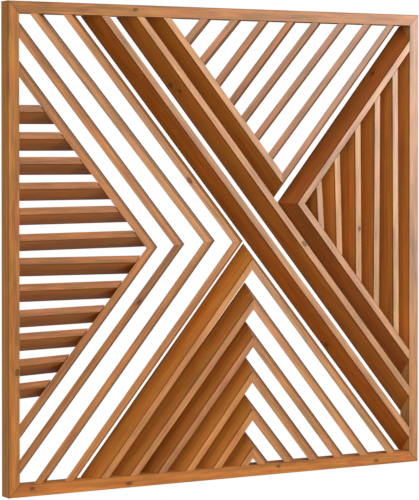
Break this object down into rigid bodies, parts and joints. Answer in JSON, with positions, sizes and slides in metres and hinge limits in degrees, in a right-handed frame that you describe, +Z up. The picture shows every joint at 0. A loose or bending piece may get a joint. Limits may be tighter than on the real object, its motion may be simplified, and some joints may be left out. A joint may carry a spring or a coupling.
{
  "type": "slatted wall screen",
  "caption": "Square wooden wall screen: a mitred frame filled with slanted louvre boards in level, upright, diagonal and chevron fields.",
  "frame": {"origin": "middle of the top rail's flat back face, on the wall plane", "axes": "+X to the right seen from the front, +Y out of the back into the wall, +Z up; the front faces -Y"},
  "size_m": [0.914, 0.032, 0.914],
  "materials": {
    "frame": "oiled, satin",
    "level_slats": "oiled, satin",
    "chevrons": "oiled, satin",
    "diagonals": "oiled, satin",
    "cross_slats": "oiled, satin",
    "upright_slats": "oiled, satin"
  },
  "bodies": {
    "root": {"bottom_rail": "frame", "left_stile": "frame", "right_stile": "frame", "top_rail": "frame", "level_slat_1": "level_slats", "level_slat_2": "level_slats", "level_slat_3": "level_slats", "level_slat_4": "level_slats", "level_slat_5": "level_slats", "level_slat_6": "level_slats", "level_slat_7": "level_slats", "level_slat_8": "level_slats", "level_slat_9": "level_slats", "level_slat_10": "level_slats", "level_slat_11": "level_slats", "level_slat_12": "level_slats", "right_chevron_1_lower": "chevrons", "right_chevron_1_upper": "chevrons", "right_chevron_2_lower": "chevrons", "right_chevron_2_upper": "chevrons", "right_chevron_3_lower": "chevrons", "right_chevron_3_upper": "chevrons", "right_chevron_4_lower": "chevrons", "right_chevron_4_upper": "chevrons", "up_chevron_1_left": "chevrons", "up_chevron_1_right": "chevrons", "up_chevron_2_left": "chevrons", "up_chevron_2_right": "chevrons", "up_chevron_3_left": "chevrons", "up_chevron_3_right": "chevrons", "up_chevron_4_left": "chevrons", "up_chevron_4_right": "chevrons", "up_chevron_5_left": "chevrons", "up_chevron_5_right": "chevrons", "up_chevron_6_left": "chevrons", "up_chevron_6_right": "chevrons", "cross_slat_8": "diagonals", "main_diagonal_1": "diagonals", "main_diagonal_2": "diagonals", "main_diagonal_3": "diagonals", "cross_slat_1": "cross_slats", "cross_slat_2": "cross_slats", "cross_slat_3": "cross_slats", "cross_slat_4": "cross_slats", "cross_slat_5": "cross_slats", "cross_slat_6": "cross_slats", "cross_slat_7": "cross_slats", "left_chevron_lower": "cross_slats", "left_chevron_upper": "cross_slats", "upright_slat_1": "upright_slats", "upright_slat_2": "upright_slats", "upright_slat_3": "upright_slats", "upright_slat_4": "upright_slats", "upright_slat_5": "upright_slats", "upright_slat_6": "upright_slats"}
  },
  "joints": []
}
